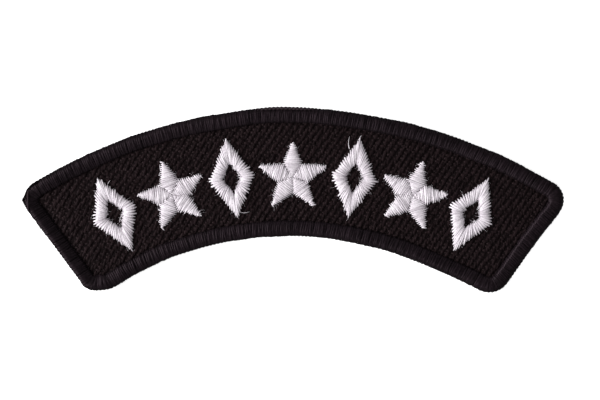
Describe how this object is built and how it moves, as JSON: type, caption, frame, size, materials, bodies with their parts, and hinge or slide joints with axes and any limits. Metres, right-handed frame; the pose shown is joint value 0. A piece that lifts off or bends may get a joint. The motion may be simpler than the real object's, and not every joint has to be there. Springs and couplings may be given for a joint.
{
  "type": "rocker patch",
  "caption": "Sewn arched shoulder patch: black twill band with a raised overlocked border and a row of white satin-stitched lozenges and stars.",
  "frame": {"origin": "middle of the patch's outline, on the plane that its back lies on", "axes": "+X along the width, +Y towards the crown of the arch, +Z out of the embroidered face"},
  "size_m": [0.1018, 0.0348, 0.0022],
  "materials": {
    "black_twill": "black cotton and polyester twill with a diagonal rib, matt",
    "black_edging_thread": "black twisted edging thread, dense overlock stitch, soft sheen",
    "white_satin_thread": "white polyester embroidery thread in satin stitch, silky sheen"
  },
  "bodies": {
    "root": {"twill_ground": "black_twill", "merrowed_border": "black_edging_thread", "border_tail": "black_edging_thread", "diamond_1": "white_satin_thread", "diamond_2": "white_satin_thread", "diamond_3": "white_satin_thread", "diamond_4": "white_satin_thread", "star_1": "white_satin_thread", "star_2": "white_satin_thread", "star_3": "white_satin_thread"}
  },
  "joints": []
}
